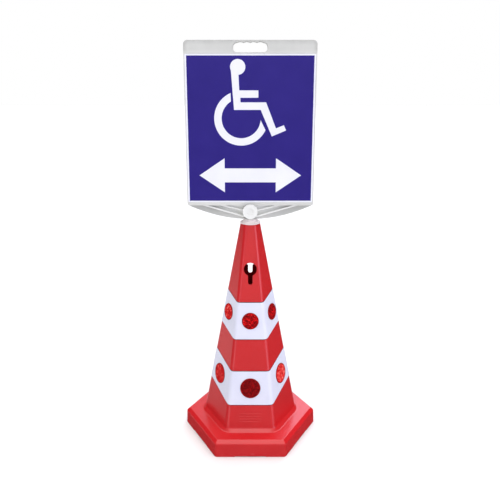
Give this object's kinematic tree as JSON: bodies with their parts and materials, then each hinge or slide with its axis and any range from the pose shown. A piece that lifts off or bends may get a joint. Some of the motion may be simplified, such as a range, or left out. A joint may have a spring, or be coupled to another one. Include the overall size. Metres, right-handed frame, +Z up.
{
  "type": "cone sign",
  "caption": "Hexagonal traffic cone with a weighted plinth, reflective bands and keyholes, carrying a parking sign board with a handle that swivels on a lift-out socket.",
  "frame": {"origin": "on the ground, under the cone's axis", "axes": "+Z up along the cone's axis; -Y out of the front face, towards the sign's reader"},
  "size_m": [0.4628, 0.404, 1.332],
  "materials": {
    "red_plastic": "moulded, satin",
    "ballast_rubber": "moulded recycled rubber",
    "grey_plastic": "moulded, satin",
    "cap_plastic": "smooth",
    "reflector_red": "prismatic, clear face",
    "white_sheeting": "retroreflective sheeting",
    "white_sheet": "satin sheet",
    "blue_film": "satin film",
    "zinc_steel": "zinc plated"
  },
  "bodies": {
    "cone": {"cone_shell": "red_plastic", "ballast_ring": "ballast_rubber", "ballast_washers": "zinc_steel", "ballast_screws": "zinc_steel", "upper_band_front": "white_sheeting", "upper_band_rear": "white_sheeting", "lower_band_front": "white_sheeting", "lower_band_rear": "white_sheeting", "upper_reflector_1": "reflector_red", "upper_reflector_2": "reflector_red", "upper_reflector_3": "reflector_red", "upper_reflector_4": "reflector_red", "upper_reflector_5": "reflector_red", "upper_reflector_6": "reflector_red", "lower_reflector_1": "reflector_red", "lower_reflector_2": "reflector_red", "lower_reflector_3": "reflector_red", "lower_reflector_4": "reflector_red", "lower_reflector_5": "reflector_red", "lower_reflector_6": "reflector_red"},
    "socket": {"neck_socket": "grey_plastic"},
    "sign_head": {"stem": "grey_plastic", "stem_washer": "zinc_steel", "stem_screw": "zinc_steel", "front_shell": "grey_plastic", "rear_shell": "grey_plastic", "shell_screws": "zinc_steel", "front_sheet": "white_sheet", "front_film": "blue_film", "rear_sheet": "white_sheet", "rear_film": "blue_film", "hub_bolt": "zinc_steel", "hub_nut": "zinc_steel", "hub_washers": "zinc_steel", "hub_cap_front": "cap_plastic", "hub_cap_rear": "cap_plastic"}
  },
  "joints": [
    {"name": "head_lift", "type": "slide", "parent": "cone", "child": "socket", "axis": [0, 0, 1], "range_m": [0, 0.12]},
    {"name": "sign_swivel", "type": "hinge", "parent": "socket", "child": "sign_head", "pos_m": [0, 0, 0.766], "axis": [0, 0, 1], "continuous": true}
  ]
}
